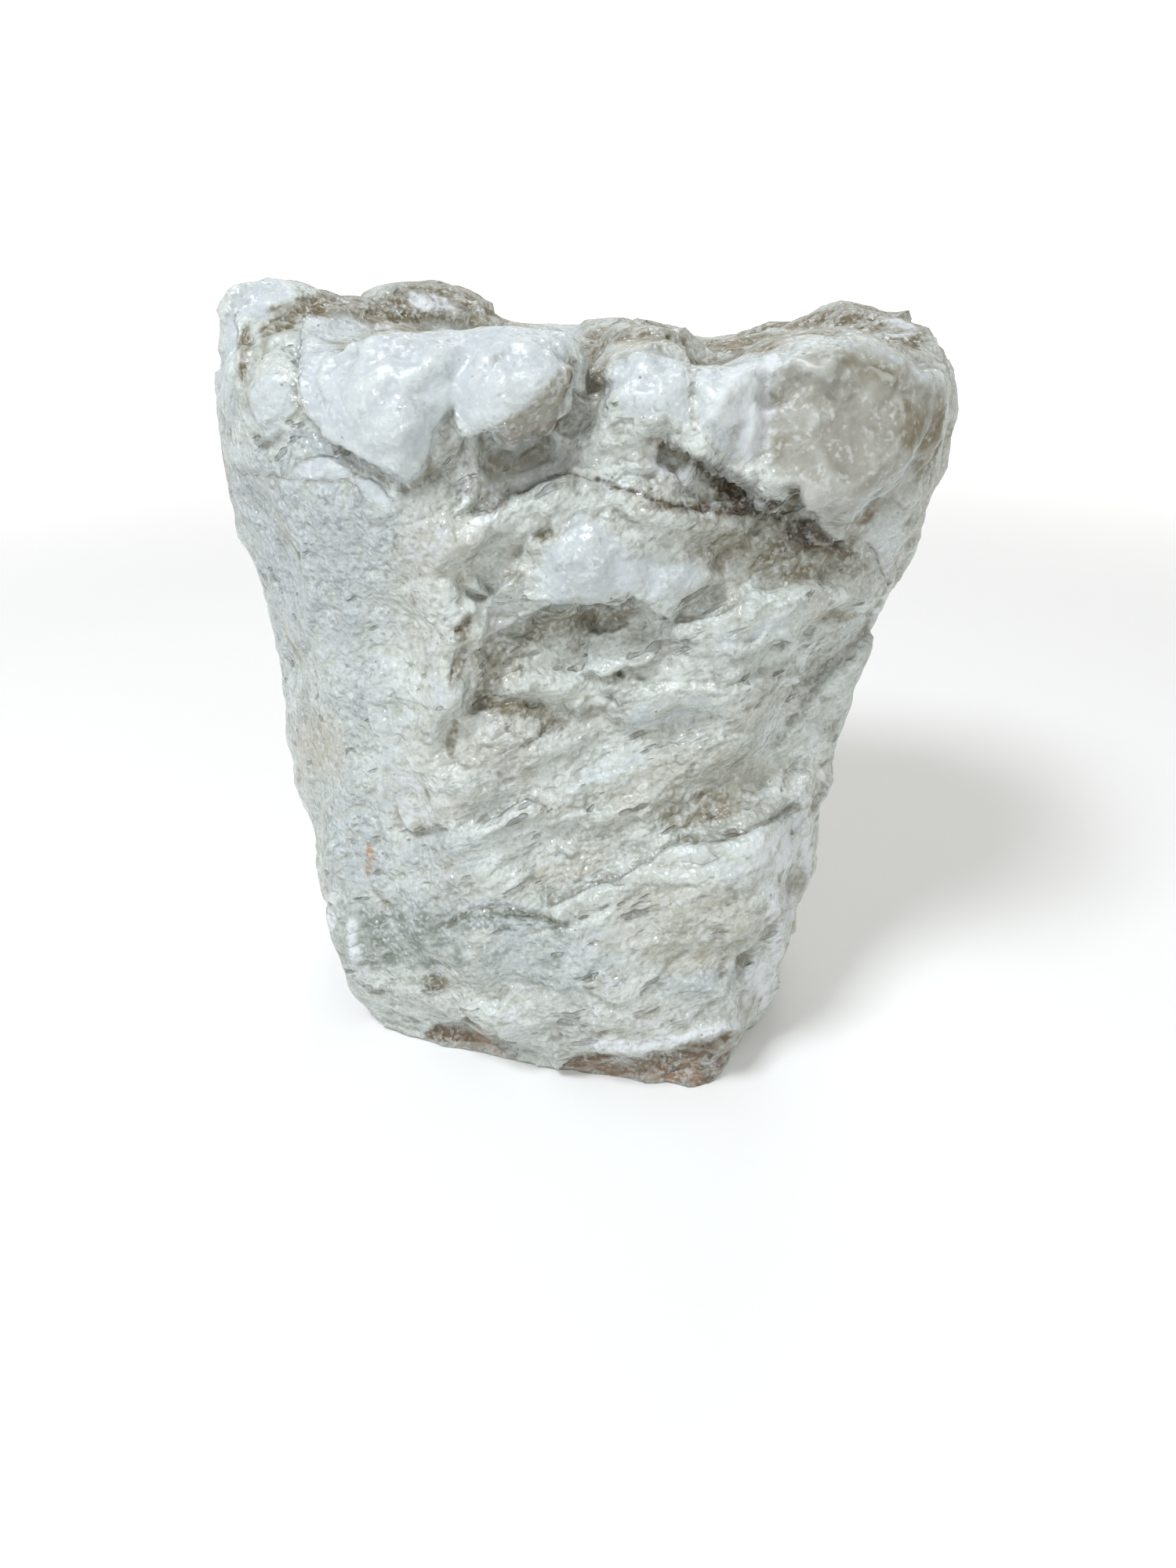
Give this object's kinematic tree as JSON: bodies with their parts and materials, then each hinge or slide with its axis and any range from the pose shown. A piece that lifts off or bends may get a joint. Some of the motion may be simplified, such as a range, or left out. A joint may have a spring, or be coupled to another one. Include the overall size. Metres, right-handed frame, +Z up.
{
  "type": "rough stone block",
  "caption": "Rough quarried block of alabaster standing on its narrow flat foot, with knobbly white nodules round its broader top and stepped, broken faces below.",
  "frame": {"origin": "on the ground, under the middle of the block's bounding box", "axes": "+Z up; -Y is the block's front, the broad face that is seen; +X is its right as seen from the front"},
  "size_m": [0.274, 0.205, 0.302],
  "materials": {
    "alabaster": "rough broken stone, sugary and slightly translucent"
  },
  "bodies": {
    "root": {"alabaster_block": "alabaster"}
  },
  "joints": []
}
